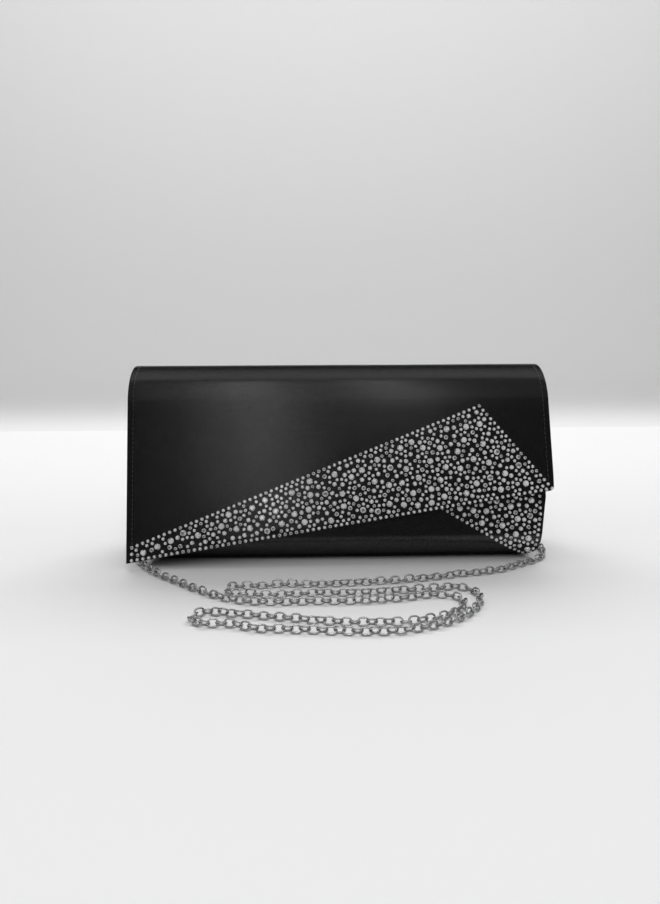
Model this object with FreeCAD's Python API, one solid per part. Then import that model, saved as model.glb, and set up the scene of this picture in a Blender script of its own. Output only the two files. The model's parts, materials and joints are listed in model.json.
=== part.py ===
import FreeCAD, Part
import math
import os
import random

# Evening bag: a black satin clutch with a slanted front flap set with flat-backed stones,
# pleated side gussets, a hidden magnetic closure and a cable chain hooked to a ring at each side.
# Millimetres. X runs across the bag, the front faces -Y, +Z is up and the bag stands on z = 0.

V = FreeCAD.Vector

# ---- driving dimensions ----
FLAP_HALF = 135.5          # half width of the flap at its widest
BODY_HALF = 131.5          # half width of the front and back panels
HEIGHT = 122.2             # floor to the crest of the flap
BACK_Y = 32.1              # outer face of the back
LEAN = math.radians(16.4)  # how far the front leans back
CREST_R = 29.0             # roll of the flap from the front to the crest
FOLD_R = 7.1               # tighter fold from the crest down to the back
FRONT_ROLL_R = 14.0        # rounded lower front edge of the body
BACK_ROLL_R = 10.0         # rounded lower back edge of the body
PANEL_STEP = 4.2           # flap's outer face to the front panel's outer face

SATIN = 0.5                # outer fabric
BOARD = 1.4                # stiffener
LINING = 0.4               # inner fabric
PANEL = SATIN + BOARD + LINING
HEM = 3.0                  # satin turned in over the edge of each panel
FABRIC_GAP = 0.3           # left between panels that move past each other

FLAP_LOW_LEFT = V(-134.3, 0, 3.6)
FLAP_LOW_RIGHT = V(FLAP_HALF, 0, 45.0)
FLAP_CREST_HALF = 133.5
FRONT_TOP = 99.0
FOOT_HALF = 127.5          # half width of the body where its lower corners start to round
FOOT_Z = 13.0
FLARE_Z = 40.0             # above this the body keeps its full half width
CORNER_R = 12.0
GUSSET_Z = 14.0            # the gussets stand on the base tray at this level
GUSSET_TOP = 98.0
GUSSET_FOLD_LOW = 1.5
GUSSET_FOLD_TOP = 20.0
TILT_RANGE = 12.0          # degrees the front panel swings out as the flap is opened

BASE_BOARD = 2.0
TRAY_FRONT = 1.3           # how far the base satin runs in front of the roll's lowest line
ROLL_STOP = math.radians(20.0)  # the front panel stops short of the floor by this turn of its roll

# stones: sides of the cut, radius, height, flat top over width (0 comes to a point)
STONES = {"large": (6, 2.0, 1.6, 0.55), "medium": (5, 1.45, 1.2, 0.55), "small": (5, 1.08, 0.9, 0)}
STONE_GAP = 0.5
SMALL_GAP = 0.7
LARGE_SPACING = 8.0
MEDIUM_SPACING = 5.0
LARGE_ROOM = 130.0         # area of the field to each large stone
MEDIUM_ROOM = 66.0
ROW_PITCH = 3.6
ROW_INSET = 1.35           # edge row to the fabric's edge
DARTS = 20000
TURNS = 60                 # places tried round each stone for a small one beside it
FIELD_APEX = (89.3, 101.4)  # across, and up the slope from the floor
FIELD_LEFT = 8.0           # height of the field at its left end
FIELD_UNDER = 4.0          # the body's stones run this far up under the flap

MAGNET_R = 8.0
MAGNET_PLAY = 0.1
MAGNET_X = 0.0
MAGNET_UP = 36.0           # from the floor along the slope

WIRE_R = 0.8               # D-ring wire
RING_X = 130.2
RING_Y = BACK_Y - 9.5
RING_Z = 98.0
RING_BAR = 3.0             # half length of the straight bar
RING_CORNER = 2.0
TAB_WALL = 0.8
TAB_HALF = 2.7
LINK_RING_R = 2.8
LINK_WIRE = 0.6
CHAIN_D = 3.8              # height of a cable chain lying with its links at 45 degrees

SPAN = 150.0               # half length of the cutters, past every edge

# ---- profile seen from the side ----
OUT = V(0, -math.cos(LEAN), math.sin(LEAN))   # square to the front, outwards
UP = V(0, math.sin(LEAN), math.cos(LEAN))     # up the slope of the front
CREST_C = V(0, BACK_Y - FOLD_R, HEIGHT - CREST_R)
FOLD_C = V(0, BACK_Y - FOLD_R, HEIGHT - FOLD_R)
HINGE_Z = FOLD_C.z - 0.4
BACK_TOP = HINGE_Z - 0.4
BACK_ROLL_C = V(0, BACK_Y - BACK_ROLL_R, BACK_ROLL_R)
FRONT_DISTANCE = OUT.dot(CREST_C) + CREST_R - PANEL_STEP - FRONT_ROLL_R
FRONT_ROLL_C = V(0, (FRONT_DISTANCE - OUT.z * FRONT_ROLL_R) / OUT.y, FRONT_ROLL_R)


def turned(direction, angle):
    """The direction turned about X, from +Y towards +Z."""
    c, s = math.cos(angle), math.sin(angle)
    return V(0, c * direction.y - s * direction.z, s * direction.y + c * direction.z)


def arc(centre, radius, start, end):
    """Arc in the side view between two unit directions less than half a turn apart."""
    middle = start + end
    middle.normalize()
    return Part.Arc(centre + start * radius, centre + middle * radius, centre + end * radius).toShape()


def line(a, b):
    return Part.LineSegment(a, b).toShape()


def closed(edges):
    return Part.Face(Part.Wire(Part.__sortEdges__(edges)))


def flap_line(depth):
    """Edges of the flap's side view, this far inside its outer face."""
    up, back = V(0, 0, 1), V(0, 1, 0)
    roll = CREST_R - depth
    fold = FOLD_R - depth
    low = CREST_C + OUT * roll - UP * 110
    return [line(low, CREST_C + OUT * roll), arc(CREST_C, roll, OUT, up), arc(FOLD_C, fold, up, back)]


def front_line(depth):
    roll = FRONT_ROLL_R - depth
    stop = turned(V(0, 0, -1), -ROLL_STOP)
    top = FRONT_ROLL_C + OUT * roll + UP * 100
    return [line(top, FRONT_ROLL_C + OUT * roll), arc(FRONT_ROLL_C, roll, OUT, stop)]


def back_line(depth):
    roll = BACK_ROLL_R - depth
    back, down = V(0, 1, 0), V(0, 0, -1)
    top = V(0, BACK_Y - depth, BACK_TOP + 5)
    return [line(top, BACK_ROLL_C + back * roll), arc(BACK_ROLL_C, roll, back, down)]


def layer(side_line, outer, inner, outline):
    """A sheet between two depths, cut to its outline seen from the front."""
    a, b = side_line(outer), side_line(inner)
    ends = [line(a[0].Vertexes[0].Point, b[0].Vertexes[0].Point),
            line(a[-1].Vertexes[-1].Point, b[-1].Vertexes[-1].Point)]
    sheet = closed(a + b + ends).extrude(V(2 * SPAN, 0, 0))
    sheet.translate(V(-SPAN, 0, 0))
    return sheet.common(outline)


# ---- outlines seen from the front ----
def rounded_path(points, radii, loop=False):
    """Straight runs joined by tangent arcs; a radius of None leaves that point sharp."""
    count = len(points)
    edges = []
    turns = range(count) if loop else range(1, count - 1)
    ends = {}
    for i in turns:
        before = points[i - 1] - points[i]
        after = points[(i + 1) % count] - points[i]
        if radii[i] is None:
            ends[i] = (points[i], points[i])
            continue
        before.normalize()
        after.normalize()
        half = (math.pi - before.getAngle(after)) / 2
        back = radii[i] * math.tan(half)
        middle = before + after
        middle.normalize()
        away = radii[i] * (1 / math.cos(half) - 1)
        ends[i] = (points[i] + before * back, points[i] + after * back)
        edges.append(Part.Arc(ends[i][0], points[i] + middle * away, ends[i][1]).toShape())
    for i in range(count if loop else count - 1):
        j = (i + 1) % count
        a = ends[i][1] if i in ends else points[i]
        b = ends[j][0] if j in ends else points[j]
        edges.append(line(a, b))
    return Part.Wire(Part.__sortEdges__(edges))


def outline(corners, inset=0.0):
    """A solid cutter right through the bag from (x, z, radius) corners."""
    points = [V(x, 0, z) for x, z, _ in corners]
    face = Part.Face(rounded_path(points, [r for _, _, r in corners], loop=True))
    if inset:
        face = face.makeOffset2D(-inset)
    face.translate(V(0, -SPAN, 0))
    return face.extrude(V(0, 2 * SPAN, 0))


def flap_outline(inset=0.0):
    low, high, r = FLAP_LOW_LEFT, FLAP_LOW_RIGHT, 2.5
    return outline([(low.x, low.z, r), (high.x, high.z, r), (FLAP_HALF, high.z + 10, None),
                    (FLAP_CREST_HALF, HEIGHT + 5, None), (-FLAP_HALF, HEIGHT + 5, None)], inset)


def body_outline(top, inset=0.0):
    right = [(FOOT_HALF - 1, 0, CORNER_R), (FOOT_HALF, FOOT_Z, None), (BODY_HALF, FLARE_Z, 60.0),
             (BODY_HALF, top, 2.0)]
    left = [(-x, z, r) for x, z, r in reversed(right)]
    return outline(left[-1:] + right + left[:-1], inset)


def front_outline(inset=0.0):
    return body_outline(FRONT_TOP, inset)


def back_outline(inset=0.0):
    return body_outline(BACK_TOP, inset)


def covered_panel(name, side_line, panel_outline):
    """Satin turned in round a board, with a lining on its inner face."""
    board = layer(side_line, SATIN, SATIN + BOARD, panel_outline(SATIN))
    lining = layer(side_line, SATIN + BOARD, PANEL, panel_outline(HEM))
    satin = layer(side_line, 0, PANEL, panel_outline()).cut(board).cut(lining)
    return {name + "_satin": satin, name + "_board": board, name + "_lining": lining}


# ---- base, gussets and pocket ----
def tray_room():
    """Solid room between the front and back panels, up to the gussets, with the floor strip."""
    front_r = FRONT_ROLL_R - PANEL - 2 * FABRIC_GAP
    back_r = BACK_ROLL_R - PANEL
    front = V(0, FRONT_ROLL_C.y - TRAY_FRONT, 0)
    rise = math.sqrt(front_r ** 2 - TRAY_FRONT ** 2)
    bend = V(0, -TRAY_FRONT, -rise)
    bend.normalize()
    ahead, back, down = V(0, -1, 0), V(0, 1, 0), V(0, 0, -1)
    inner_front = FRONT_ROLL_C + bend * front_r
    edges = [line(front, V(0, BACK_ROLL_C.y, 0)), line(V(0, BACK_ROLL_C.y, 0), BACK_ROLL_C + down * back_r),
             arc(BACK_ROLL_C, back_r, down, back),
             line(BACK_ROLL_C + back * back_r, V(0, BACK_ROLL_C.y + back_r, GUSSET_Z)),
             line(V(0, BACK_ROLL_C.y + back_r, GUSSET_Z), FRONT_ROLL_C + ahead * front_r),
             arc(FRONT_ROLL_C, front_r, ahead, bend), line(inner_front, front)]
    room = closed(edges).extrude(V(2 * SPAN, 0, 0))
    room.translate(V(-SPAN, 0, 0))
    return room


def base_parts():
    room = tray_room()
    satin = back_outline().cut(back_outline(SATIN)).common(room)
    flat = FOOT_HALF - CORNER_R - 1
    y0, y1 = FRONT_ROLL_C.y, BACK_ROLL_C.y
    board = Part.makeBox(2 * flat, y1 - y0, BASE_BOARD, V(-flat, y0, SATIN))
    lining = Part.makeBox(2 * flat, y1 - y0, LINING, V(-flat, y0, SATIN + BASE_BOARD))
    upright = [e for e in board.Edges if abs(e.Vertexes[0].Z - e.Vertexes[1].Z) > 1]
    board = board.makeFillet(3.0, upright)
    return {"base_satin": satin, "base_board": board, "base_lining": lining}


def gusset(side, outer, inner):
    """Side wall folded inwards, from a shallow crease at the foot to a deep pleat at the mouth."""
    sections = []
    back = BACK_Y - PANEL
    for z, edge_x, fold in ((GUSSET_Z, FOOT_HALF, GUSSET_FOLD_LOW),
                            (GUSSET_TOP, BODY_HALF - 2.5, GUSSET_FOLD_TOP)):
        plane = FRONT_ROLL_C + OUT * (FRONT_ROLL_R - PANEL)
        front = plane.y + (z - plane.z) * math.tan(LEAN) + 3 * FABRIC_GAP
        middle = (front + back) / 2
        crease = 1.5
        path = [(0, front), (-fold, middle - crease), (-fold, middle + crease), (0, back)]
        points = [V(side * (edge_x + x - outer), y, z) for x, y in path]
        points += [V(side * (edge_x + x - inner), y, z) for x, y in reversed(path)]
        sections.append(Part.makePolygon(points + points[:1]))
    return Part.makeLoft(sections, True, True)


def slip_pocket():
    """Flat pocket stitched to the back lining on three sides, open at the top."""
    half, low, high, wall, room = 60.0, 26.0, 84.0, 0.4, 0.8
    back = BACK_Y - PANEL
    outer = outline([(-half, low, 8.0), (half, low, 8.0), (half, high, None), (-half, high, None)])
    inner = outline([(2 - half, low + 2, 7.0), (half - 2, low + 2, 7.0), (half - 2, high + 5, None),
                     (2 - half, high + 5, None)])
    depth = wall + room
    pocket = outer.common(Part.makeBox(2 * SPAN, depth, SPAN, V(-SPAN, back - depth, 0)))
    return pocket.cut(inner.common(Part.makeBox(2 * SPAN, room, SPAN, V(-SPAN, back - room, 0))))


# ---- magnets ----
def magnet(outer_plane, play=0.0):
    """A disc in the thickness of a board, square to the front."""
    lift = MAGNET_UP - outer_plane.z / UP.z
    centre = outer_plane + UP * lift + V(MAGNET_X, 0, 0) - OUT * (SATIN + BOARD)
    return Part.makeCylinder(MAGNET_R + play, BOARD, centre, OUT)


# ---- stones ----
def on_flap(x, w):
    """Point and axes on the flap's outer face; w runs up the slope from the floor."""
    tangent = CREST_C + OUT * CREST_R
    return tangent + UP * (w - tangent.z / UP.z) + V(x, 0, 0), UP, OUT


def on_front(x, w):
    """The same on the front panel; w is 0 where its flat face meets the bottom roll."""
    if w >= 0:
        return FRONT_ROLL_C + OUT * FRONT_ROLL_R + UP * w + V(x, 0, 0), UP, OUT
    turn = -w / FRONT_ROLL_R
    out = turned(OUT, turn)
    return FRONT_ROLL_C + out * FRONT_ROLL_R + V(x, 0, 0), turned(UP, turn), out


def stone(cut, spin, point, up, out):
    """A flat-backed cut stone: a low pyramid, with a flat table on the bigger sizes."""
    sides, radius, height, table = cut
    across = V(1, 0, 0)
    peak = point + out * height
    spokes = []
    for i in range(sides):
        a = spin + 2 * math.pi * i / sides
        spokes.append(across * (math.cos(a) * radius) + up * (math.sin(a) * radius))
    low = [point + spoke for spoke in spokes]
    high = [peak + spoke * table for spoke in spokes]
    faces = [Part.Face(Part.makePolygon(low + low[:1]))]
    if table:
        faces.append(Part.Face(Part.makePolygon(high + high[:1])))
    for i in range(sides):
        j = (i + 1) % sides
        side = [low[i], low[j], high[j], high[i]] if table else [low[i], low[j], peak]
        faces.append(Part.Face(Part.makePolygon(side + side[:1])))
    solid = Part.Solid(Part.Shell(faces))
    if solid.Volume < 0:
        solid.reverse()
    return solid


def inside(corners, x, w, margin):
    """True if the point is this far inside a convex outline given anticlockwise."""
    for i, (ax, aw) in enumerate(corners):
        bx, bw = corners[(i + 1) % len(corners)]
        length = math.hypot(bx - ax, bw - aw)
        if ((bx - ax) * (w - aw) - (bw - aw) * (x - ax)) / length < margin:
            return False
    return True


class StoneField:
    """Stones laid side by side: edge rows first, then each size wherever it still fits."""

    def __init__(self, corners, seed):
        self.corners = corners
        self.random = random.Random(seed)
        self.cells = {}
        self.placed = []

    def near(self, x, w):
        cx, cw = int(x // 5), int(w // 5)
        for i in (-1, 0, 1):
            for j in (-1, 0, 1):
                yield from self.cells.get((cx + i, cw + j), ())

    def add(self, size, x, w, gap=STONE_GAP):
        radius = STONES[size][1]
        for ox, ow, other in self.near(x, w):
            if math.hypot(x - ox, w - ow) < radius + other + gap:
                return False
        self.cells.setdefault((int(x // 5), int(w // 5)), []).append((x, w, radius))
        self.placed.append((size, x, w))
        return True

    def edge_row(self, a, b):
        steps = max(1, round(math.hypot(b[0] - a[0], b[1] - a[1]) / ROW_PITCH))
        for i in range(steps + 1):
            t = i / steps
            self.add("small", a[0] + (b[0] - a[0]) * t, a[1] + (b[1] - a[1]) * t, 0.3)

    def scatter(self, size, count, spacing):
        xs = [c[0] for c in self.corners]
        ws = [c[1] for c in self.corners]
        own = []
        for _ in range(DARTS):
            x = self.random.uniform(min(xs), max(xs))
            w = self.random.uniform(min(ws), max(ws))
            if len(own) >= count:
                break
            if not inside(self.corners, x, w, STONES[size][1] + 1.2):
                continue
            if all(math.hypot(x - a, w - b) >= spacing for a, b in own) and self.add(size, x, w):
                own.append((x, w))

    def crowd(self):
        """Small stones beside those already there, each as near as the gap allows."""
        small = STONES["small"][1]
        for size, x, w in self.placed:
            reach = STONES[size][1] + small + SMALL_GAP + 0.001
            start = self.random.uniform(0, 2 * math.pi)
            for i in range(TURNS):
                a = start + 2 * math.pi * i / TURNS
                at = (x + reach * math.cos(a), w + reach * math.sin(a))
                if inside(self.corners, *at, small + 1.2):
                    self.add("small", *at, SMALL_GAP)

    def fill(self):
        room = 0.0
        for i, corner in enumerate(self.corners):
            after = self.corners[(i + 1) % len(self.corners)]
            room += (corner[0] * after[1] - corner[1] * after[0]) / 2
            self.edge_row(corner, after)
        self.scatter("large", room / LARGE_ROOM, LARGE_SPACING)
        self.scatter("medium", room / MEDIUM_ROOM, MEDIUM_SPACING)
        self.crowd()
        return self.placed


def stone_parts(name, placed, surface, seed):
    spins = random.Random(seed)
    groups = {size: [] for size in STONES}
    for size, x, w in placed:
        point, up, out = surface(x, w)
        groups[size].append(stone(STONES[size], spins.uniform(0, math.pi), point, up, out))
    print(name, {size: len(solids) for size, solids in groups.items()})
    return {name + "_stones_" + size: Part.makeCompound(solids) for size, solids in groups.items()}


def flap_edge(x):
    """Height of the flap's slanted lower edge, along the slope from the floor."""
    low, high = FLAP_LOW_LEFT, FLAP_LOW_RIGHT
    return (low.z + (x - low.x) * (high.z - low.z) / (high.x - low.x)) / UP.z


def flap_field():
    """The long triangle on the flap, from the low left corner to the apex near its right end."""
    left, right = FLAP_LOW_LEFT.x + 3.3, FLAP_HALF - ROW_INSET
    low = flap_edge(left) + ROW_INSET
    return [(left, low), (right, flap_edge(right) + ROW_INSET), FIELD_APEX, (left, low + FIELD_LEFT)]


def front_field():
    """The triangle on the body below the flap, round onto the bottom roll at the right."""
    lift = FIELD_UNDER - (FRONT_ROLL_C + OUT * FRONT_ROLL_R).z / UP.z
    left, right = 58.4, BODY_HALF - 4.0
    return [(left, flap_edge(left) + lift), (117.5, -15.4), (121.3, -17.3), (124.2, -8.0),
            (right, 12.0), (right, flap_edge(right) + lift)]


# ---- rings and chain ----
def tube(path, radius):
    edge = path.OrderedEdges[0]
    start = edge.valueAt(edge.FirstParameter)
    heading = edge.tangentAt(edge.FirstParameter)
    section = Part.Wire([Part.makeCircle(radius, start, heading)])
    return path.makePipeShell([section], True, True)


def ring_tab(side):
    """Satin loop round the ring's bar, its two leaves running back into the side seam."""
    bar = V(side * RING_X, RING_Y, RING_Z - TAB_HALF)
    loop = Part.makeCylinder(WIRE_R + 0.2 + TAB_WALL, 2 * TAB_HALF, bar)
    leaves = Part.makeBox(2 * TAB_WALL, BACK_Y - PANEL - RING_Y, 2 * TAB_HALF, bar - V(TAB_WALL, 0, 0))
    return loop.fuse(leaves).cut(Part.makeCylinder(WIRE_R + 0.2, 2 * TAB_HALF, bar)).removeSplitter()


def d_ring(side):
    bar, c, reach = RING_BAR, RING_CORNER, RING_BAR + RING_CORNER
    centre = V(side * RING_X, RING_Y, RING_Z)
    k = c * (1 - math.sqrt(0.5))
    top = [V(0, 0, bar), V(0, -k, reach - k), V(0, -c, reach)]
    edges = [line(V(0, 0, -bar), top[0]), Part.Arc(*top).toShape(),
             Part.Arc(top[2], V(0, -c - reach, 0), V(0, -c, -reach)).toShape(),
             Part.Arc(V(0, -c, -reach), V(0, -k, k - reach), V(0, 0, -bar)).toShape()]
    path = Part.Wire(edges)
    path.translate(centre)
    return tube(path, WIRE_R)


def link_ring(side):
    """Jump ring that hangs in the D-ring and takes the chain's last link."""
    low = V(side * RING_X, RING_Y - RING_CORNER, RING_Z - RING_BAR - RING_CORNER)
    drop = LINK_RING_R - LINK_WIRE - WIRE_R - 0.15
    return Part.makeTorus(LINK_RING_R, LINK_WIRE, low - V(0, 0, drop), V(0, 1, 0))


# The chain's route: down from the left ring inside the side recess, under the flap's corner,
# to and fro on the floor in front of the bag, and back round its right corner to the other ring.
CHAIN_ROUTE = [
    (-130.2, 21.0, 88.35), (-130.6, 20.6, 63), (-130.9, 19.0, 38), (-131.8, 14.0, 17), (-132.8, 3.5, 4.4),
    (-132.8, -8.5, 2.0), (-130.2, -20, 2.0), (-123.5, -30.5, 2.0), (-114.5, -42, 2.0), (-100, -54.5, 2.0),
    (-85, -68.5, 2.0), (-69.5, -80, 2.0), (-50, -88, 2.0), (-24, -86.8, 2.0), (4, -87.6, 2.0),
    (30, -84.5, 2.0), (48, -79.5, 2.0), (61, -81.5, 2.0), (64.5, -92, 2.0), (56.5, -103.5, 2.0),
    (41, -112.5, 2.0), (20, -114.5, 2.0), (-6, -113, 2.0), (-30, -107.7, 2.0), (-50, -103, 2.0),
    (-65, -100.5, 2.0), (-75.5, -97.5, 2.0), (-82.3, -106, 2.0), (-74.2, -113.3, 2.0), (-60, -112.4, 2.0),
    (-48, -118.8, 2.0), (-24, -120.5, 2.0), (4, -124, 2.0), (26, -123.5, 2.0), (44, -118, 2.0),
    (57, -111, 2.0), (67, -100.5, 2.0), (73.7, -88, 2.0), (73.5, -75.5, 2.0), (64, -68, 2.0),
    (51, -72.5, 2.0), (30, -73.5, 2.0), (6, -76.5, 2.0), (-20, -75.3, 2.0), (-42, -78.2, 2.0),
    (-56, -75.8, 2.0), (-67, -74.2, 2.0), (-66, -64.2, 2.0), (-53, -64.6, 2.0), (-36, -61.8, 2.0),
    (-18, -64, 2.0), (6, -61.3, 2.0), (30, -59.3, 2.0), (52, -55, 2.0), (74, -49, 2.0),
    (94, -45.5, 2.0), (109, -36, 2.0), (121, -29, 2.0), (131, -20.5, 2.0), (134.4, -8, 2.0),
    (133.4, 4.5, 4.2), (131.8, 14.5, 17), (130.9, 19.2, 38), (130.6, 20.7, 63), (130.2, 21.0, 88.35),
]


def chain():
    points = [V(*p) for p in CHAIN_ROUTE]
    radii = [None] * len(points)
    for i in range(1, len(points) - 1):
        before, after = points[i - 1] - points[i], points[i + 1] - points[i]
        half = (math.pi - before.getAngle(after)) / 2
        radii[i] = 0.45 * min(before.Length, after.Length) / math.tan(half)
    path = rounded_path(points, radii)
    solid = tube(path, CHAIN_D / 2)
    section = math.pi * (CHAIN_D / 2) ** 2
    print("chain length %.1f, volume over section and length %.4f"
          % (path.Length, solid.Volume / section / path.Length))
    print("chain radii", " ".join("%.1f" % r for r in radii if r))
    return solid


def build():
    parts = {}
    parts.update(covered_panel("back", back_line, back_outline))
    parts.update(covered_panel("front", front_line, front_outline))
    parts.update(covered_panel("flap", flap_line, flap_outline))
    parts.update(base_parts())
    for name, plane in (("flap", CREST_C + OUT * CREST_R), ("front", FRONT_ROLL_C + OUT * FRONT_ROLL_R)):
        parts[name + "_board"] = parts[name + "_board"].cut(magnet(plane, MAGNET_PLAY))
        parts[name + "_magnet"] = magnet(plane)
    parts["slip_pocket"] = slip_pocket()
    for side, word in ((-1, "left"), (1, "right")):
        parts["gusset_" + word] = gusset(side, 0, SATIN)
        parts["gusset_lining_" + word] = gusset(side, SATIN, SATIN + LINING)
        parts["ring_tab_" + word] = ring_tab(side)
        parts["d_ring_" + word] = d_ring(side)
        parts["jump_ring_" + word] = link_ring(side)
    parts.update(stone_parts("flap", StoneField(flap_field(), 5).fill(), on_flap, 11))
    parts.update(stone_parts("front", StoneField(front_field(), 8).fill(), on_front, 13))
    parts["chain"] = chain()
    return parts


os.makedirs("parts", exist_ok=True)
for node, shape in build().items():
    box = shape.BoundBox
    print("%-22s solids %3d valid %s volume %9.1f  x %.1f %.1f  y %.1f %.1f  z %.1f %.1f" % (
        node, len(shape.Solids), shape.isValid(), shape.Volume, box.XMin, box.XMax, box.YMin, box.YMax,
        box.ZMin, box.ZMax))
    shape.exportStep("parts/" + node + ".step")
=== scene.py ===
import json
import math
import random

import bmesh
import bpy
from mathutils import Matrix, Vector


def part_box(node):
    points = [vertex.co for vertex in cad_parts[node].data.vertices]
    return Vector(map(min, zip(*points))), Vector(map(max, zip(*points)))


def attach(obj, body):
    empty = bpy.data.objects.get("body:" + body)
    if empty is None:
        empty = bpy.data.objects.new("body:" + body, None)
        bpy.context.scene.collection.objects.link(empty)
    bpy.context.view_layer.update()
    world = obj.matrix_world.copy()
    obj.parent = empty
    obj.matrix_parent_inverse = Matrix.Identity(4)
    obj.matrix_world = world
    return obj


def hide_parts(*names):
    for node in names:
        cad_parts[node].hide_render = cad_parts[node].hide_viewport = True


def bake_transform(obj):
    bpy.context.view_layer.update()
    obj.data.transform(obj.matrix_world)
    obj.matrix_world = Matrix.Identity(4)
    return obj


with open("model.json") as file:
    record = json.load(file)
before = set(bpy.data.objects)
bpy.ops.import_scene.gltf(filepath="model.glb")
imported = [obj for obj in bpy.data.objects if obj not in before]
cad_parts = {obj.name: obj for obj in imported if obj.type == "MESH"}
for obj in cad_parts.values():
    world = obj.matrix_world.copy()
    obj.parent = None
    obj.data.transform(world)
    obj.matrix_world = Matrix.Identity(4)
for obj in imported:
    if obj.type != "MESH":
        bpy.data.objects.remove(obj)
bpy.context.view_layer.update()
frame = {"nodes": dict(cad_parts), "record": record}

# Evening bag in metres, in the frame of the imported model: X across, the front faces -Y, +Z up.
NODES = frame["nodes"]
MM = 0.001

# ---- sizes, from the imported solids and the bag's own few driving dimensions ----
BACK_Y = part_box("back_satin")[1].y
BACK_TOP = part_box("back_satin")[1].z
BODY_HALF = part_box("back_satin")[1].x
FRONT_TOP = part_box("front_satin")[1].z
FLAP_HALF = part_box("flap_satin")[1].x
CREST_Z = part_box("flap_satin")[1].z
LEAN = math.radians(16.4)
CREST_R = 29.0 * MM
FOLD_R = 7.1 * MM
FRONT_ROLL_R = 14.0 * MM
BACK_ROLL_R = 10.0 * MM
PANEL_STEP = 4.2 * MM
PANEL = 2.3 * MM
SHELL = 2.15 * MM              # satin over its board, less the lining
HEM_ROUND = 0.55 * MM
HEM = 3.0 * MM                 # satin turned in over the edge of the back

OUT = Vector((0, -math.cos(LEAN), math.sin(LEAN)))
UP = Vector((0, math.sin(LEAN), math.cos(LEAN)))
CREST_C = Vector((0, BACK_Y - FOLD_R, CREST_Z - CREST_R))
FOLD_C = Vector((0, BACK_Y - FOLD_R, CREST_Z - FOLD_R))
BACK_ROLL_C = Vector((0, BACK_Y - BACK_ROLL_R, BACK_ROLL_R))
FRONT_DISTANCE = OUT.dot(CREST_C) + CREST_R - PANEL_STEP - FRONT_ROLL_R
FRONT_ROLL_C = Vector((0, (FRONT_DISTANCE - OUT.z * FRONT_ROLL_R) / OUT.y, FRONT_ROLL_R))

FLAP_LOW_LEFT = Vector((-134.3 * MM, 0, 3.6 * MM))
FLAP_LOW_RIGHT = Vector((FLAP_HALF, 0, 45.0 * MM))
FLAP_TAPER_Z = 55.0 * MM
FLAP_TOP_RIGHT = Vector((133.5 * MM, 0, CREST_Z + 5 * MM))
FLAP_TOP_LEFT = Vector((-FLAP_HALF, 0, CREST_Z + 5 * MM))
FLAP_CORNER = 2.5 * MM
FOOT_HALF = 127.5 * MM
FOOT_Z = 13.0 * MM
FLARE_Z = 40.0 * MM
CORNER_R = 12.0 * MM
GUSSET_Z = 13.2 * MM
GUSSET_TOP = 98.0 * MM
GUSSET_FOLD = (1.5 * MM, 20.0 * MM)
COLUMNS = 44

CHAIN_WIDTH = 5.2 * MM
LINK_LENGTH = 6.5 * MM
LINK_WIRE = 1.1 * MM
FLOOR_BACK = 0.52
FLOOR_TURN = 0.07
FLOOR_DEPTH = 1.5
WALL_HEIGHT = 0.62
ROOM_WIDTH = 2.4
FLOOR_TONE = 0.86
WALL_TONE = 0.80
# Painted light and shade on the stones: one of these values goes at random to each facet. The low ones are
# painted dark reflections and the high ones painted glints on the silvering.
PAINTED_FACET_LIGHT = (0.25, 0.85, 1.0, 1.0, 1.0)
STITCH_INSET = 3.6 * MM
STITCH_PITCH = 3.0 * MM
STITCH_LENGTH = 2.3 * MM

# The chain's route, the same points as the solid tube's, in metres.
CHAIN_ROUTE = [
    (-0.1302, 0.021, 0.08835), (-0.1306, 0.0206, 0.063), (-0.1309, 0.019, 0.038), (-0.1318, 0.014, 0.017),
    (-0.1328, 0.0035, 0.0044), (-0.1328, -0.0085, 0.002), (-0.1302, -0.02, 0.002), (-0.1235, -0.0305, 0.002),
    (-0.1145, -0.042, 0.002), (-0.1, -0.0545, 0.002), (-0.085, -0.0685, 0.002), (-0.0695, -0.08, 0.002),
    (-0.05, -0.088, 0.002), (-0.024, -0.0868, 0.002), (0.004, -0.0876, 0.002), (0.03, -0.0845, 0.002),
    (0.048, -0.0795, 0.002), (0.061, -0.0815, 0.002), (0.0645, -0.092, 0.002), (0.0565, -0.1035, 0.002),
    (0.041, -0.1125, 0.002), (0.02, -0.1145, 0.002), (-0.006, -0.113, 0.002), (-0.03, -0.1077, 0.002),
    (-0.05, -0.103, 0.002), (-0.065, -0.1005, 0.002), (-0.0755, -0.0975, 0.002), (-0.0823, -0.106, 0.002),
    (-0.0742, -0.1133, 0.002), (-0.06, -0.1124, 0.002), (-0.048, -0.1188, 0.002), (-0.024, -0.1205, 0.002),
    (0.004, -0.124, 0.002), (0.026, -0.1235, 0.002), (0.044, -0.118, 0.002), (0.057, -0.111, 0.002),
    (0.067, -0.1005, 0.002), (0.0737, -0.088, 0.002), (0.0735, -0.0755, 0.002), (0.064, -0.068, 0.002),
    (0.051, -0.0725, 0.002), (0.03, -0.0735, 0.002), (0.006, -0.0765, 0.002), (-0.02, -0.0753, 0.002),
    (-0.042, -0.0782, 0.002), (-0.056, -0.0758, 0.002), (-0.067, -0.0742, 0.002), (-0.066, -0.0642, 0.002),
    (-0.053, -0.0646, 0.002), (-0.036, -0.0618, 0.002), (-0.018, -0.064, 0.002), (0.006, -0.0613, 0.002),
    (0.03, -0.0593, 0.002), (0.052, -0.055, 0.002), (0.074, -0.049, 0.002), (0.094, -0.0455, 0.002),
    (0.109, -0.036, 0.002), (0.121, -0.029, 0.002), (0.131, -0.0205, 0.002), (0.1344, -0.008, 0.002),
    (0.1334, 0.0045, 0.0042), (0.1318, 0.0145, 0.017), (0.1309, 0.0192, 0.038), (0.1306, 0.0207, 0.063),
    (0.1302, 0.021, 0.08835),
]


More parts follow.
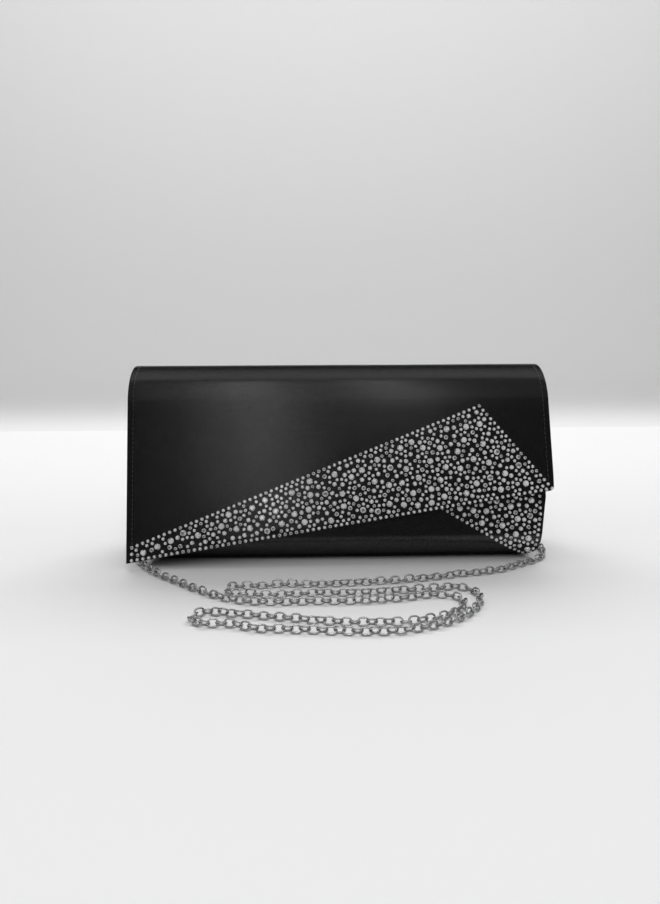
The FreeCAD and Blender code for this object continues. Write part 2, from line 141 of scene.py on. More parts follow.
# ---- working by hand: selection, edit mode and finishing ----
def only(piece):
    bpy.ops.object.select_all(action="DESELECT")
    piece.select_set(True)
    bpy.context.view_layer.objects.active = piece


def start_piece(name, scale=(1, 1, 1)):
    """Names the primitive just added and puts its place and size into its mesh."""
    piece = bpy.context.object
    piece.name = name
    piece.data.name = name
    piece.scale = scale
    only(piece)
    bpy.ops.object.transform_apply(location=True, rotation=True, scale=True)
    bpy.ops.object.mode_set(mode="EDIT")
    bpy.ops.mesh.select_all(action="DESELECT")
    return piece


def end_edit():
    bpy.ops.object.mode_set(mode="OBJECT")


def pick(piece, kind, test):
    """Selects the vertices, edges or faces whose middle passes the test. Returns how many."""
    bpy.ops.mesh.select_mode(type=kind)
    mesh = bmesh.from_edit_mesh(piece.data)
    for group in (mesh.faces, mesh.edges, mesh.verts):
        for element in group:
            element.select_set(False)
    chosen = 0
    if kind == "VERT":
        for v in mesh.verts:
            if test(v.co):
                v.select_set(True)
                chosen += 1
    elif kind == "EDGE":
        for e in mesh.edges:
            if all(test(v.co) for v in e.verts):
                e.select_set(True)
                chosen += 1
    else:
        for f in mesh.faces:
            if test(f.calc_center_median()):
                f.select_set(True)
                chosen += 1
    bmesh.update_edit_mesh(piece.data)
    return chosen


def cut(piece, test, point, normal):
    """Cuts the chosen faces along a plane and throws away what lies beyond it."""
    if pick(piece, "FACE", test):
        bpy.ops.mesh.bisect(plane_co=point, plane_no=normal, clear_outer=True, threshold=1e-6)


def extrude(step, times=1):
    for _ in range(times):
        bpy.ops.mesh.extrude_region_move(TRANSFORM_OT_translate={"value": step})


def face_out(piece, sample, direction):
    """Turns the sheet over if the face nearest the sample doesn't look in the direction."""
    mesh = bmesh.from_edit_mesh(piece.data)
    mesh.normal_update()
    nearest = min(mesh.faces, key=lambda f: (f.calc_center_median() - sample).length)
    if nearest.normal.dot(direction) < 0:
        bpy.ops.mesh.select_all(action="SELECT")
        bpy.ops.mesh.flip_normals()


def add_modifier(piece, kind, **values):
    modifier = piece.modifiers.new(kind.lower(), kind)
    for key, value in values.items():
        setattr(modifier, key, value)
    only(piece)
    bpy.ops.object.modifier_apply(modifier=modifier.name)


def smooth(piece, angle=35):
    only(piece)
    bpy.ops.object.shade_smooth_by_angle(angle=math.radians(angle))


def clothe(piece, material):
    piece.data.materials.clear()
    piece.data.materials.append(material)


def slack(name, size):
    texture = bpy.data.textures.get(name) or bpy.data.textures.new(name, "CLOUDS")
    texture.noise_scale = size
    return texture


# ---- places on the bag ----
def on_flap(x, w):
    """Point, up and out on the flap's outer face; w is the way up from the floor along the cloth."""
    flat = (CREST_C + OUT * CREST_R).z / UP.z
    crest = CREST_R * (math.pi / 2 - LEAN)
    if w <= flat:
        return CREST_C + OUT * CREST_R + UP * (w - flat) + Vector((x, 0, 0)), UP, OUT
    if w <= flat + crest:
        turn, centre, radius = (w - flat) / CREST_R, CREST_C, CREST_R
    else:
        turn, centre, radius = math.pi / 2 - LEAN + (w - flat - crest) / FOLD_R, FOLD_C, FOLD_R
    spin = Matrix.Rotation(-turn, 3, "X")
    out = spin @ OUT
    return centre + out * radius + Vector((x, 0, 0)), spin @ UP, out


def flap_side(side, z):
    """x of the flap's left or right edge at a height."""
    if side < 0:
        low, high = FLAP_LOW_LEFT, FLAP_TOP_LEFT
    else:
        low, high = Vector((FLAP_HALF, 0, FLAP_TAPER_Z)), FLAP_TOP_RIGHT
        if z < low.z:
            return FLAP_HALF
    return low.x + (high.x - low.x) * (z - low.z) / (high.z - low.z)


def side_normal(a, b, side):
    run = (b - a).normalized()
    return Vector((side * abs(run.z), 0, -side * run.x * (1 if run.z > 0 else -1)))


# ---- outer satin ----
def trim_foot(piece, test):
    """Narrows a panel below the flare and rounds its two lower corners."""
    centre_x = FOOT_HALF - CORNER_R - 0.4 * MM
    for side in (-1, 1):
        high = Vector((side * BODY_HALF, 0, FLARE_Z))
        low = Vector((side * FOOT_HALF, 0, FOOT_Z))
        run = (high - low).normalized()
        cut(piece, test, low, Vector((side * run.z, 0, -side * run.x)))
        for degrees in (12, 30, 48, 66, 82):
            a = math.radians(degrees)
            normal = Vector((side * math.cos(a), 0, -math.sin(a)))
            point = Vector((side * centre_x, 0, CORNER_R)) + normal * CORNER_R
            cut(piece, test, point, normal)


def hem(piece, width):
    """Rounds the edges of a sheet of cloth where it is folded over."""
    add_modifier(piece, "BEVEL", width=width, segments=3, limit_method="ANGLE",
                 angle_limit=math.radians(50))
    smooth(piece, 40)


def thicken(piece):
    """Gives a satin sheet the thickness of its board, with edges rolled round."""
    add_modifier(piece, "DISPLACE", texture=slack("panel slack", 0.055), strength=0.22 * MM, mid_level=0.5,
                 texture_coords="LOCAL")
    add_modifier(piece, "SOLIDIFY", thickness=SHELL, offset=-1.0, use_even_offset=True)
    hem(piece, HEM_ROUND)


def outer_cover():
    """One length of satin: round the back roll, up the back, over the top and down as the flap."""
    low, high = BACK_ROLL_R, FOLD_C.z
    bpy.ops.mesh.primitive_grid_add(x_subdivisions=COLUMNS, y_subdivisions=12, size=2,
                                    location=(0, BACK_Y, (low + high) / 2), rotation=(-math.pi / 2, 0, 0))
    piece = start_piece("outer_cover", scale=(FLAP_HALF, (high - low) / 2, 1))
    near = 0.01 * MM
    pick(piece, "EDGE", lambda p: p.z < low + near)
    bpy.ops.mesh.spin(steps=5, angle=math.pi / 2, center=BACK_ROLL_C, axis=(1, 0, 0))
    pick(piece, "EDGE", lambda p: p.z > high - near)
    bpy.ops.mesh.spin(steps=7, angle=-math.pi / 2, center=FOLD_C, axis=(1, 0, 0))
    pick(piece, "EDGE", lambda p: p.z > CREST_Z - near)
    bpy.ops.mesh.spin(steps=10, angle=LEAN - math.pi / 2, center=CREST_C, axis=(1, 0, 0))
    tangent = CREST_C + OUT * CREST_R
    pick(piece, "EDGE", lambda p: (p - Vector((p.x, tangent.y, tangent.z))).length < near)
    rows = 16
    extrude(-UP * (tangent.z / UP.z + 2 * MM) / rows, rows)
    bpy.ops.mesh.select_all(action="SELECT")
    bpy.ops.mesh.remove_doubles(threshold=near)

    # The back is narrower than the flap; the last row below the fold widens from one to the other.
    mesh = bmesh.from_edit_mesh(piece.data)
    for v in mesh.verts:
        side = 1 if v.co.x > 0 else -1
        behind = v.co.y > CREST_C.y - near or v.co.y > 0 and v.co.z < BACK_ROLL_R
        if behind and v.co.z < high - near:
            v.co.x *= BODY_HALF / FLAP_HALF
        elif behind and v.co.y > CREST_C.y + near:
            v.co.x *= abs(flap_side(side, v.co.z)) / FLAP_HALF
    bmesh.update_edit_mesh(piece.data)

    def front(p):
        return p.y < 0 and p.z < tangent.z

    def flap(p):
        return p.y < CREST_C.y + near or p.z > high + near

    def back(p):
        return p.z < FLARE_Z + 8 * MM and p.y > CREST_C.y - 6 * MM

    slope = (FLAP_LOW_RIGHT - FLAP_LOW_LEFT).normalized()
    cut(piece, front, FLAP_LOW_LEFT, Vector((slope.z, 0, -slope.x)))
    cut(piece, lambda p: flap(p) and not back(p), FLAP_TOP_LEFT,
        side_normal(FLAP_LOW_LEFT, FLAP_TOP_LEFT, -1))
    cut(piece, lambda p: flap(p) and not back(p), FLAP_TOP_RIGHT,
        side_normal(Vector((FLAP_HALF, 0, FLAP_TAPER_Z)), FLAP_TOP_RIGHT, 1))
    trim_foot(piece, back)
    pick(piece, "VERT", lambda p: p.y < 0 and min((p - on_flap(c.x, c.z / UP.z)[0]).length
                                                  for c in (FLAP_LOW_LEFT, FLAP_LOW_RIGHT)) < 1.2 * MM)
    bpy.ops.mesh.bevel(offset=FLAP_CORNER, segments=4, affect="VERTICES")
    face_out(piece, Vector((0, BACK_Y, 0.06)), Vector((0, 1, 0)))
    end_edit()
    thicken(piece)
    clothe(piece, SATIN)
    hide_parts("flap_satin", "back_satin")
    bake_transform(piece)
    return piece


def turned_top():
    """The satin's turned-in edge: down the inside of the back board and over its top."""
    cloth, round_off, play = 0.4 * MM, 0.12 * MM, 0.02 * MM
    low, high, inner = BACK_TOP - HEM, BACK_TOP - play, BACK_Y - PANEL
    bpy.ops.mesh.primitive_grid_add(x_subdivisions=COLUMNS, y_subdivisions=1, size=2,
                                    location=(0, inner, (low + high) / 2), rotation=(-math.pi / 2, 0, 0))
    piece = start_piece("back_turned_top", scale=(BODY_HALF - 0.4 * MM, (high - low) / 2, 1))
    pick(piece, "EDGE", lambda p: p.z > high - 0.01 * MM)
    extrude(Vector((0, PANEL - 0.3 * MM, 0)))
    face_out(piece, Vector((0, inner, low)), Vector((0, -1, 0)))
    end_edit()
    add_modifier(piece, "SOLIDIFY", thickness=cloth, offset=-1.0, use_even_offset=True)
    hem(piece, round_off)
    clothe(piece, SATIN)
    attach(piece, "case")


def front_cover():
    """Satin of the front panel, from its top edge down and round the lower roll to the base."""
    tangent = FRONT_ROLL_C + OUT * FRONT_ROLL_R
    length = (FRONT_TOP + 0.7 * MM - tangent.z) / UP.z
    middle = tangent + UP * length / 2
    bpy.ops.mesh.primitive_grid_add(x_subdivisions=COLUMNS, y_subdivisions=14, size=2, location=middle,
                                    rotation=(math.pi / 2 - LEAN, 0, 0))
    piece = start_piece("front_cover", scale=(BODY_HALF, length / 2, 1))
    near = 0.01 * MM
    pick(piece, "EDGE", lambda p: p.z < tangent.z + near)
    bpy.ops.mesh.spin(steps=9, angle=math.radians(-99), center=FRONT_ROLL_C, axis=(1, 0, 0))
    trim_foot(piece, lambda p: p.z < FLARE_Z + 8 * MM)
    pick(piece, "VERT", lambda p: p.z > FRONT_TOP and abs(p.x) > BODY_HALF - near)
    bpy.ops.mesh.bevel(offset=2 * MM, segments=3, affect="VERTICES")
    face_out(piece, middle, OUT)
    end_edit()
    thicken(piece)
    clothe(piece, SATIN)
    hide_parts("front_satin")
    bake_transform(piece)
    return piece


def gusset_point(side, u, v, depth):
    """u runs from the front edge to the back edge, v from the foot to the mouth."""
    z = GUSSET_Z + (GUSSET_TOP - GUSSET_Z) * v
    inner = FRONT_ROLL_C + OUT * (FRONT_ROLL_R - PANEL)
    y0 = inner.y + (z - inner.z) * math.tan(LEAN) + 0.9 * MM
    y1 = BACK_Y - PANEL
    fold = GUSSET_FOLD[0] + (GUSSET_FOLD[1] - GUSSET_FOLD[0]) * v
    away = 2 * u - 1
    crease = 0.10
    ridge = math.sqrt(1 + crease ** 2)
    shape = (ridge - math.sqrt(away ** 2 + crease ** 2)) / (ridge - crease)
    edge = FOOT_HALF - 0.3 * MM + (BODY_HALF - 2.5 * MM - FOOT_HALF + 0.3 * MM) * v
    ripple = 0.35 * MM * math.sin(9 * v + 4 * u) * math.sin(math.pi * u)
    return Vector((side * (edge - fold * shape - depth + ripple), y0 + (y1 - y0) * u, z))


def gusset(side, word, lining):
    """Pleated side wall: satin outside, or its lining half a millimetre further in."""
    depth, thickness = (0.55 * MM, 0.4 * MM) if lining else (0.0, 0.5 * MM)
    name = "gusset_lining_" + word if lining else "gusset_" + word
    bpy.ops.mesh.primitive_grid_add(x_subdivisions=28, y_subdivisions=24, size=1, location=(0.5, 0.5, 0))
    piece = start_piece(name)
    end_edit()
    for v in piece.data.vertices:
        v.co = gusset_point(side, v.co.x, v.co.y, depth)
    only(piece)
    bpy.ops.object.mode_set(mode="EDIT")
    face_out(piece, gusset_point(side, 0.25, 0.5, depth), Vector((side, 0, 0)))
    end_edit()
    add_modifier(piece, "SOLIDIFY", thickness=thickness, offset=-1.0)
    smooth(piece, 60)
    clothe(piece, LINING if lining else SATIN)
    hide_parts(name)
    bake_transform(piece)
    return piece


# ---- stitching ----
def stitch_model():
    """One stitch: a short length of twisted thread, sunk at both ends."""
    bpy.ops.mesh.primitive_uv_sphere_add(segments=8, ring_count=6, radius=1.0)
    piece = start_piece("stitch", scale=(0.26 * MM, 0.5 * STITCH_LENGTH, 0.2 * MM))
    end_edit()
    return piece


def sew(name, model, places, body, material):
    """Copies of a model, each turned and set at its place, as one piece."""
    mesh = bmesh.new()
    for matrix in places:
        copy = model.data.copy()
        copy.transform(matrix)
        mesh.from_mesh(copy)
        bpy.data.meshes.remove(copy)
    data = bpy.data.meshes.new(name)
    mesh.to_mesh(data)
    mesh.free()
    piece = bpy.data.objects.new(name, data)
    bpy.context.scene.collection.objects.link(piece)
    clothe(piece, material[0])
    smooth(piece, 60)
    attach(piece, body)
    return piece


def frame_matrix(point, along, out):
    """Local Y along the seam, local Z out of the cloth."""
    across = along.cross(out).normalized()
    return Matrix(((across.x, along.x, out.x, point.x), (across.y, along.y, out.y, point.y),
                   (across.z, along.z, out.z, point.z), (0, 0, 0, 1)))


def flap_stitching():
    """A row of stitches just inside each side edge of the flap, up to the crest."""
    model = stitch_model()
    places = []
    top = (CREST_C + OUT * CREST_R).z / UP.z + CREST_R * (math.pi / 2 - LEAN)
    for side, low in ((-1, FLAP_LOW_LEFT.z), (1, FLAP_LOW_RIGHT.z)):
        w = low / UP.z + STITCH_INSET
        while w < top:
            point, up, out = on_flap(0, w)
            point.x = flap_side(side, point.z) - side * STITCH_INSET
            places.append(frame_matrix(point + out * 0.02 * MM, up, out))
            w += STITCH_PITCH
    sew("flap_stitching", model, places, "flap", (THREAD, "satin"))
    bpy.data.objects.remove(model)


# ---- stones ----
def stone_model():
    """A round flat-back stone of radius 1: girdle, two rows of facets and a table."""
    bpy.ops.mesh.primitive_cylinder_add(vertices=10, radius=1.0, depth=0.12, location=(0, 0, 0.06))
    piece = start_piece("stone")
    pick(piece, "FACE", lambda p: p.z > 0.119)
    bpy.ops.mesh.extrude_region_move(TRANSFORM_OT_translate={"value": (0, 0, 0.34)})
    bpy.ops.transform.resize(value=(0.80, 0.80, 1))
    bpy.ops.mesh.extrude_region_move(TRANSFORM_OT_translate={"value": (0, 0, 0.22)})
    bpy.ops.transform.resize(value=(0.66, 0.66, 1))
    bpy.ops.transform.rotate(value=math.pi / 10, orient_axis="Z", center_override=(0, 0, 0))
    pick(piece, "FACE", lambda p: 0.47 < p.z < 0.67)
    bpy.ops.mesh.quads_convert_to_tris(quad_method="SHORTEST_DIAGONAL")
    end_edit()
    return piece


def loose_solids(node):
    """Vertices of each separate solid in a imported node."""
    mesh = bmesh.new()
    mesh.from_mesh(node.data)
    bmesh.ops.remove_doubles(mesh, verts=mesh.verts, dist=0.002 * MM)
    seen = set()
    solids = []
    for first in mesh.verts:
        if first.index in seen:
            continue
        group, queue = [], [first]
        seen.add(first.index)
        while queue:
            v = queue.pop()
            group.append(v.co.copy())
            for edge in v.link_edges:
                other = edge.other_vert(v)
                if other.index not in seen:
                    seen.add(other.index)
                    queue.append(other)
        solids.append(group)
    mesh.free()
    return solids


def out_of_cloth(centre, body):
    if body == "flap" or centre.z > (FRONT_ROLL_C + OUT * FRONT_ROLL_R).z:
        return OUT
    away = centre - FRONT_ROLL_C
    away.x = 0
    return away.normalized()


def stones(body, size, model, dice):
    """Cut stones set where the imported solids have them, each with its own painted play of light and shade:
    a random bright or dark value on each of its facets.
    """
    name = "%s_stones_%s" % (body, size)
    mesh = bmesh.new()
    # This colour layer holds painted light and shade for the facets.
    tone = mesh.loops.layers.float_color.new("facet")
    for group in loose_solids(NODES[name]):
        centre = sum(group, Vector()) / len(group)
        out = out_of_cloth(centre, body)
        lows = [(p - centre).dot(out) for p in group]
        radius = max(((p - centre) - out * (p - centre).dot(out)).length for p in group)
        height = max(lows) - min(lows)
        base = centre + out * min(lows)
        along = Matrix.Rotation(dice.uniform(0, math.pi), 3, out) @ Vector((1, 0, 0))
        matrix = frame_matrix(base, (along - out * along.dot(out)).normalized(), out)
        copy = model.data.copy()
        copy.transform(matrix @ Matrix.Diagonal((radius, radius, height / 0.68, 1)))
        first = len(mesh.faces)
        mesh.from_mesh(copy)
        mesh.faces.ensure_lookup_table()
        # Painted light: a random brightness for the whole stone, times a random bright or dark value for
        # each facet, stands in for glints and dark reflections.
        lift = dice.uniform(0.92, 1.0)
        for face in mesh.faces[first:]:
            value = lift * dice.choice(PAINTED_FACET_LIGHT)
            for loop in face.loops:
                loop[tone] = (value, value, value, 1)
        bpy.data.meshes.remove(copy)
    data = bpy.data.meshes.new(name + "_cut")
    mesh.to_mesh(data)
    mesh.free()
    piece = bpy.data.objects.new(name + "_cut", data)
    bpy.context.scene.collection.objects.link(piece)
    clothe(piece, STONE)
    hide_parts(name)
    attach(piece, body)
    return piece


# ---- chain ----
def chain_path():
    """Points along the smooth line through the route, evenly spaced."""
    curve = bpy.data.curves.new("chain_line", "CURVE")
    curve.dimensions = "3D"
    curve.resolution_u = 16
    spline = curve.splines.new("NURBS")
    spline.points.add(len(CHAIN_ROUTE) - 1)
    for point, place in zip(spline.points, CHAIN_ROUTE):
        point.co = (*place, 1)
    spline.order_u = 3
    spline.use_endpoint_u = True
    line = bpy.data.objects.new("chain_line", curve)
    bpy.context.scene.collection.objects.link(line)
    bpy.context.view_layer.update()
    mesh = bpy.data.meshes.new_from_object(line)
    points = [v.co.copy() for v in mesh.vertices]
    bpy.data.objects.remove(line)
    bpy.data.meshes.remove(mesh)
    return points


def link_model():
    """One oval link of round wire, long along Y and flat in XY."""
    ring = (CHAIN_WIDTH - LINK_WIRE) / 2
    bpy.ops.mesh.primitive_torus_add(major_segments=16, minor_segments=7, major_radius=ring,
                                     minor_radius=LINK_WIRE / 2)
    piece = start_piece("chain_link")
    stretch = (LINK_LENGTH - CHAIN_WIDTH) / 2
    pick(piece, "VERT", lambda p: p.y > 0.05 * MM)
    bpy.ops.transform.translate(value=(0, stretch, 0))
    pick(piece, "VERT", lambda p: p.y < -0.05 * MM)
    bpy.ops.transform.translate(value=(0, -stretch, 0))
    end_edit()
    return piece


def lying_height(roll):
    """Height of a link's middle on the floor; a flat one is held up by its neighbours."""
    return max((CHAIN_WIDTH - LINK_WIRE) / 2 * abs(math.sin(roll)) + LINK_WIRE / 2, 1.5 * LINK_WIRE)


def chain():
    """Oval links threaded through each other along the route, every second one turned a quarter."""
    path = chain_path()
    model = link_model()
    pitch = LINK_LENGTH - 2 * LINK_WIRE
    lengths = [0.0]
    for a, b in zip(path, path[1:]):
        lengths.append(lengths[-1] + (b - a).length)
    total = lengths[-1]
    count = int((total - LINK_WIRE) / pitch)
    pitch = (total - 0.6 * LINK_LENGTH) / (count - 1)
    dice = random.Random(21)
    places = []
    at = 0
    twist = rest = math.pi / 4
    for i in range(count):
        twist += dice.gauss(0, 0.15) - 0.14 * math.sin(4 * (twist - rest))
        s = 0.3 * LINK_LENGTH + i * pitch
        while lengths[at + 1] < s and at < len(path) - 2:
            at += 1
        t = (s - lengths[at]) / (lengths[at + 1] - lengths[at])
        point = path[at].lerp(path[at + 1], t)
        along = (path[at + 1] - path[at]).normalized()
        side = Vector((1, 0, 0)) if abs(along.z) > 0.75 else Vector((0, 0, 1))
        out = (side - along * side.dot(along)).normalized()
        roll = twist + (i % 2) * math.pi / 2
        if point.z < 3 * MM:
            point.z = lying_height(roll)
        out = Matrix.Rotation(roll, 3, along) @ out
        places.append(frame_matrix(point, along, out))
    piece = sew("chain_links", model, places, "case", (CHAIN_METAL, "chain_metal"))
    bpy.data.objects.remove(model)
    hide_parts("chain")
    return piece


# ---- finishes ----
def group_with(name, inputs, outputs):
    group = bpy.data.node_groups.new(name, "ShaderNodeTree")
    for label, kind, value in inputs:
        socket = group.interface.new_socket(label, in_out="INPUT", socket_type=kind)
        if value is not None:
            socket.default_value = value
    for label, kind in outputs:
        group.interface.new_socket(label, in_out="OUTPUT", socket_type=kind)
    return group, group.nodes.new("NodeGroupInput"), group.nodes.new("NodeGroupOutput")


def maths(tree, operation, a, b=None):
    node = tree.nodes.new("ShaderNodeMath")
    node.operation = operation
    for socket, value in zip(node.inputs, (a, b)):
        if value is None:
            continue
        if isinstance(value, (int, float)):
            socket.default_value = value
        else:
            tree.links.new(value, socket)
    return node.outputs[0]


def noise(tree, vector, scale, detail, roughness=0.5):
    node = tree.nodes.new("ShaderNodeTexNoise")
    tree.links.new(vector, node.inputs["Vector"])
    if isinstance(scale, (int, float)):
        node.inputs["Scale"].default_value = scale
    else:
        tree.links.new(scale, node.inputs["Scale"])
    node.inputs["Detail"].default_value = detail
    node.inputs["Roughness"].default_value = roughness
    return node.outputs["Fac"]


def weave_group():
    """Fine threads with slubs, and the broad soft swells of cloth glued over a board."""
    inputs = [("Place", "NodeSocketVector", None), ("Threads", "NodeSocketFloat", 2600.0),
              ("Slubs", "NodeSocketFloat", 0.4), ("Swell", "NodeSocketFloat", 0.5)]
    outputs = [("Tone", "NodeSocketFloat"), ("Relief", "NodeSocketFloat")]
    group, inp, out = group_with("Cloth Weave", inputs, outputs)
    waves = []
    for axis in ("X", "Z"):
        wave = group.nodes.new("ShaderNodeTexWave")
        wave.bands_direction = axis
        group.links.new(inp.outputs["Place"], wave.inputs["Vector"])
        group.links.new(inp.outputs["Threads"], wave.inputs["Scale"])
        wave.inputs["Distortion"].default_value = 1.5
        waves.append(wave.outputs["Fac"])
    threads = maths(group, "MULTIPLY", waves[0], waves[1])
    slub = noise(group, inp.outputs["Place"], 1900.0, 1.0, 0.7)
    swell = noise(group, inp.outputs["Place"], 34.0, 1.0)
    grain = maths(group, "ADD", maths(group, "MULTIPLY", threads, 0.06),
                  maths(group, "MULTIPLY", slub, inp.outputs["Slubs"]))
    tone = maths(group, "ADD", maths(group, "MULTIPLY", threads, 0.25), between(group, slub, -0.35, 1.2))
    relief = maths(group, "ADD", grain, maths(group, "MULTIPLY", swell, inp.outputs["Swell"]))
    group.links.new(tone, out.inputs["Tone"])
    group.links.new(relief, out.inputs["Relief"])
    return group


def polish_group():
    """Faint wiping marks and dull patches on plated metal."""
    inputs = [("Place", "NodeSocketVector", None), ("Wear", "NodeSocketFloat", 0.5)]
    outputs = [("Dull", "NodeSocketFloat"), ("Relief", "NodeSocketFloat")]
    group, inp, out = group_with("Plated Polish", inputs, outputs)
    marks = noise(group, inp.outputs["Place"], 900.0, 3.0, 0.6)
    patches = noise(group, inp.outputs["Place"], 120.0, 2.0)
    dull = maths(group, "MULTIPLY", maths(group, "MULTIPLY", marks, patches), inp.outputs["Wear"])
    group.links.new(dull, out.inputs["Dull"])
    group.links.new(marks, out.inputs["Relief"])
    return group


def new_material(name):
    material = bpy.data.materials.new(name)
    material.use_nodes = True
    tree = material.node_tree
    return material, tree, tree.nodes["Principled BSDF"]


def use_group(tree, group, **values):
    node = tree.nodes.new("ShaderNodeGroup")
    node.node_tree = group
    place = tree.nodes.new("ShaderNodeTexCoord")
    tree.links.new(place.outputs["Object"], node.inputs["Place"])
    for label, value in values.items():
        node.inputs[label].default_value = value
    return node


def between(tree, value, low, high):
    """Maps 0 to 1 onto low to high, for roughness."""
    node = tree.nodes.new("ShaderNodeMapRange")
    tree.links.new(value, node.inputs["Value"])
    node.inputs["To Min"].default_value = low
    node.inputs["To Max"].default_value = high
    return node.outputs["Result"]


def colours(tree, value, dark, light):
    node = tree.nodes.new("ShaderNodeMix")
    node.data_type = "RGBA"
    tree.links.new(value, node.inputs["Factor"])
    node.inputs["A"].default_value = (*dark, 1)
    node.inputs["B"].default_value = (*light, 1)
    return node.outputs["Result"]


def relief(tree, height, shader, strength, distance):
    node = tree.nodes.new("ShaderNodeBump")
    node.inputs["Strength"].default_value = strength
    node.inputs["Distance"].default_value = distance
    tree.links.new(height, node.inputs["Height"])
    tree.links.new(node.outputs["Normal"], shader.inputs["Normal"])


def cloth_material(name, weave, dark, light, rough, strength, sheen, **values):
    material, tree, shader = new_material(name)
    node = use_group(tree, weave, **values)
    tree.links.new(colours(tree, node.outputs["Tone"], dark, light), shader.inputs["Base Color"])
    tree.links.new(between(tree, node.outputs["Tone"], *rough), shader.inputs["Roughness"])
    relief(tree, node.outputs["Relief"], shader, strength, 0.06 * MM)
    shader.inputs["Sheen Weight"].default_value = sheen
    shader.inputs["Sheen Roughness"].default_value = 0.4
    return material, shader


def metal_material(name, polish, colour, rough, wear):
    material, tree, shader = new_material(name)
    node = use_group(tree, polish, Wear=wear)
    dulled = tuple(0.7 * c for c in colour)
    tree.links.new(colours(tree, node.outputs["Dull"], colour, dulled), shader.inputs["Base Color"])
    tree.links.new(between(tree, node.outputs["Dull"], *rough), shader.inputs["Roughness"])
    shader.inputs["Metallic"].default_value = 1.0
    relief(tree, node.outputs["Relief"], shader, 0.05, 0.05 * MM)
    return material


def stone_material(polish):
    """Clear cut glass over silvering, whose base colour is painted light and shade: each facet shows its own
    painted share of light.
    """
    material, tree, shader = new_material("cut stone")
    facet = tree.nodes.new("ShaderNodeVertexColor")
    facet.layer_name = "facet"
    node = use_group(tree, polish, Wear=0.3)
    # Painted light: the bright and dark values for each facet go straight into the base colour.
    tree.links.new(facet.outputs["Color"], shader.inputs["Base Color"])
    tree.links.new(between(tree, node.outputs["Dull"], 0.16, 0.34), shader.inputs["Roughness"])
    shader.inputs["Coat Weight"].default_value = 1.0
    shader.inputs["Coat Roughness"].default_value = 0.02
    shader.inputs["Coat IOR"].default_value = 1.6
    return material


WEAVE = weave_group()
POLISH = polish_group()
SATIN, satin_shader = cloth_material("black satin", WEAVE, (0.006, 0.006, 0.006), (0.082, 0.082, 0.083),
                                     (0.16, 0.27), 1.0, 0.0, Threads=1250.0, Slubs=0.35, Swell=2.0)
# Satin's long floats mirror like dark foil, without the bright rim that smooth plastic has.
satin_shader.inputs["Metallic"].default_value = 0.85
satin_shader.inputs["IOR"].default_value = 1.1
satin_shader.inputs["Specular Tint"].default_value = (0.3, 0.3, 0.3, 1)
LINING, _ = cloth_material("black lining", WEAVE, (0.010, 0.010, 0.011), (0.022, 0.022, 0.024),
                           (0.62, 0.8), 1.0, 0.1, Threads=700.0, Slubs=1.0, Swell=1.0)
THREAD, _ = cloth_material("black thread", WEAVE, (0.03, 0.03, 0.03), (0.06, 0.06, 0.06),
                           (0.35, 0.5), 1.0, 0.1, Threads=5200.0, Slubs=0.3, Swell=0.0)
BOARD, _ = cloth_material("grey board", WEAVE, (0.30, 0.27, 0.22), (0.42, 0.38, 0.31), (0.8, 0.95), 0.4, 0.0,
                          Threads=800.0, Slubs=1.0, Swell=0.2)
STONE = stone_material(POLISH)
CHAIN_METAL = metal_material("chain nickel", POLISH, (0.52, 0.52, 0.53), (0.16, 0.4), 0.8)
RING_METAL = metal_material("ring nickel", POLISH, (0.66, 0.66, 0.67), (0.12, 0.3), 0.6)
MAGNET_METAL = metal_material("magnet plating", POLISH, (0.5, 0.5, 0.52), (0.25, 0.45), 0.8)


# ---- room, camera and light ----
def room():
    """A pale floor, and behind it the same paper turned up into a wall."""
    bpy.ops.mesh.primitive_plane_add(size=1, location=(0, FLOOR_BACK - FLOOR_DEPTH / 2, 0))
    piece = start_piece("floor", scale=(ROOM_WIDTH, FLOOR_DEPTH, 1))
    end_edit()
    bpy.ops.mesh.primitive_plane_add(size=1, location=(0, FLOOR_BACK, WALL_HEIGHT / 2 + FLOOR_TURN),
                                     rotation=(math.pi / 2, 0, 0))
    wall = start_piece("wall", scale=(ROOM_WIDTH, WALL_HEIGHT, 1))
    mesh = bmesh.from_edit_mesh(wall.data)
    for v in mesh.verts:
        v.co.y += FLOOR_TURN
    bmesh.update_edit_mesh(wall.data)
    pick(wall, "EDGE", lambda p: p.z < FLOOR_TURN + MM)
    bpy.ops.mesh.spin(steps=12, angle=math.pi / 2, center=(0, FLOOR_BACK, FLOOR_TURN), axis=(1, 0, 0))
    end_edit()
    smooth(wall, 60)
    # The tents of light stand partly behind the wall and shine through it.
    wall.visible_shadow = False
    for thing, name, tone in ((piece, "pale floor", FLOOR_TONE), (wall, "pale wall", WALL_TONE)):
        material, _, shader = new_material(name)
        shader.inputs["Base Color"].default_value = (tone, tone, tone, 1)
        shader.inputs["Roughness"].default_value = 0.7
        thing.data.materials.append(material)


def lamp(name, place, target, size, power, lean=0):
    data = bpy.data.lights.new(name, "AREA")
    data.shape = "RECTANGLE"
    data.size, data.size_y = size
    data.energy = power
    light = bpy.data.objects.new(name, data)
    light.location = place
    aim = (Vector(target) - Vector(place)).to_track_quat("-Z", "Y").to_matrix()
    light.rotation_euler = (aim @ Matrix.Rotation(math.radians(lean), 3, "Z")).to_euler()
    bpy.context.scene.collection.objects.link(light)


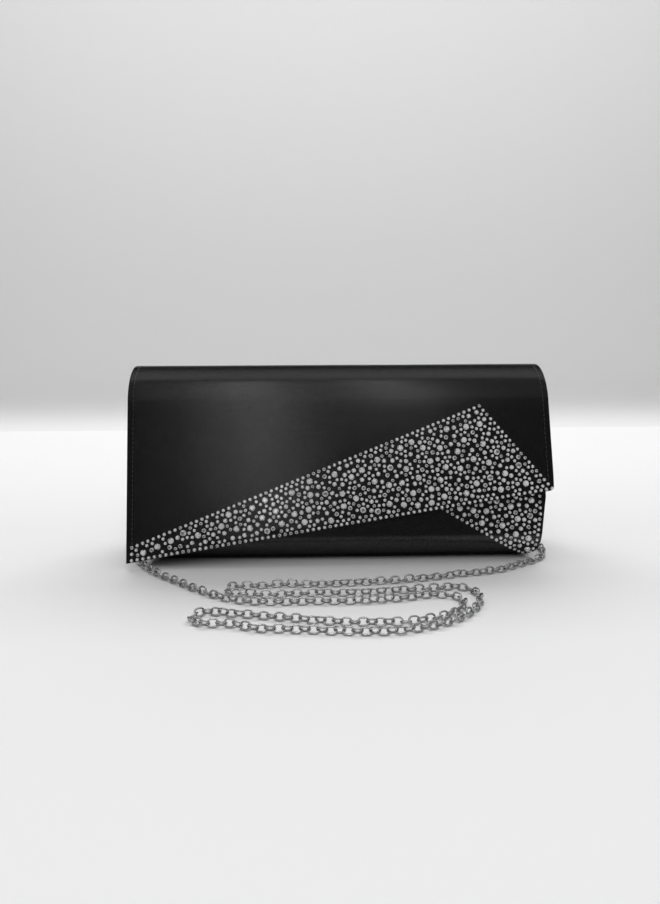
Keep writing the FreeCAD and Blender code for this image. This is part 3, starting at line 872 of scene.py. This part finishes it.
def light_and_camera():
    scene = bpy.context.scene
    scene.view_settings.view_transform = "Standard"
    world = bpy.data.worlds.new("studio")
    scene.world = world
    world.use_nodes = True
    sky = world.node_tree.nodes["Background"]
    sky.inputs["Color"].default_value = (0.92, 0.92, 0.92, 1)
    sky.inputs["Strength"].default_value = 0.08
    lamp("tent top", (0.6, 2.9, 5.0), (0.6, 2.9, 0), (10.6, 5.8), 214)
    lamp("tent back", (0.6, 4.3, 5.0), (0.6, 4.3, 0), (10.6, 3.25), 328)
    lamp("front glow", (0, -0.8, 1.5), (0, 0, 0.1), (4.0, 1.7), 4.6)
    lamp("wall wash", (0.0, -0.2, 0.75), (0.0, 0.8, 1.08), (1.8, 0.25), 6.1)
    lamp("left strip", (-0.185, -0.8, 1.0), (-0.06, 0, 0.1), (0.12, 1.7), 2.1, lean=8)
    lamp("right strip", (0.18, -0.7, 1.1), (0.03, 0, 0.1), (0.09, 1.4), 1.4, lean=-7)

    camera = bpy.data.cameras.new("camera")
    camera.sensor_fit = "VERTICAL"
    camera.sensor_height = 36.0
    camera.lens = 26.28
    eye = bpy.data.objects.new("camera", camera)
    heading, pitch, roll = math.radians(1.32), math.radians(11.0), math.radians(-0.24)
    aim = Matrix.Rotation(-heading, 4, "Z") @ Matrix.Rotation(math.pi / 2 - pitch, 4, "X")
    turn = aim @ Matrix.Rotation(roll, 4, "Z")
    eye.matrix_world = Matrix.Translation((-0.0164, -0.4235, 0.1495)) @ turn
    scene.collection.objects.link(eye)
    scene.camera = eye


# ---- the bag ----
light_and_camera()
chain()
room()
outer_cover()
turned_top()
front_cover()
for side, word in ((-1, "left"), (1, "right")):
    gusset(side, word, False)
    gusset(side, word, True)
flap_stitching()

model = stone_model()
dice = random.Random(4)
for body in ("flap", "front"):
    for size in ("large", "medium", "small"):
        stones(body, size, model, dice)
bpy.data.objects.remove(model)

FINISH = {"satin": SATIN, "lining": LINING, "board": BOARD, "stone": STONE, "magnet": MAGNET_METAL,
          "ring_metal": RING_METAL, "chain_metal": CHAIN_METAL}
for part in frame["record"]["subparts"]:
    node = NODES[part["node"]]
    for holder in node.material_slots:
        holder.material = FINISH[part["material_slot"]]
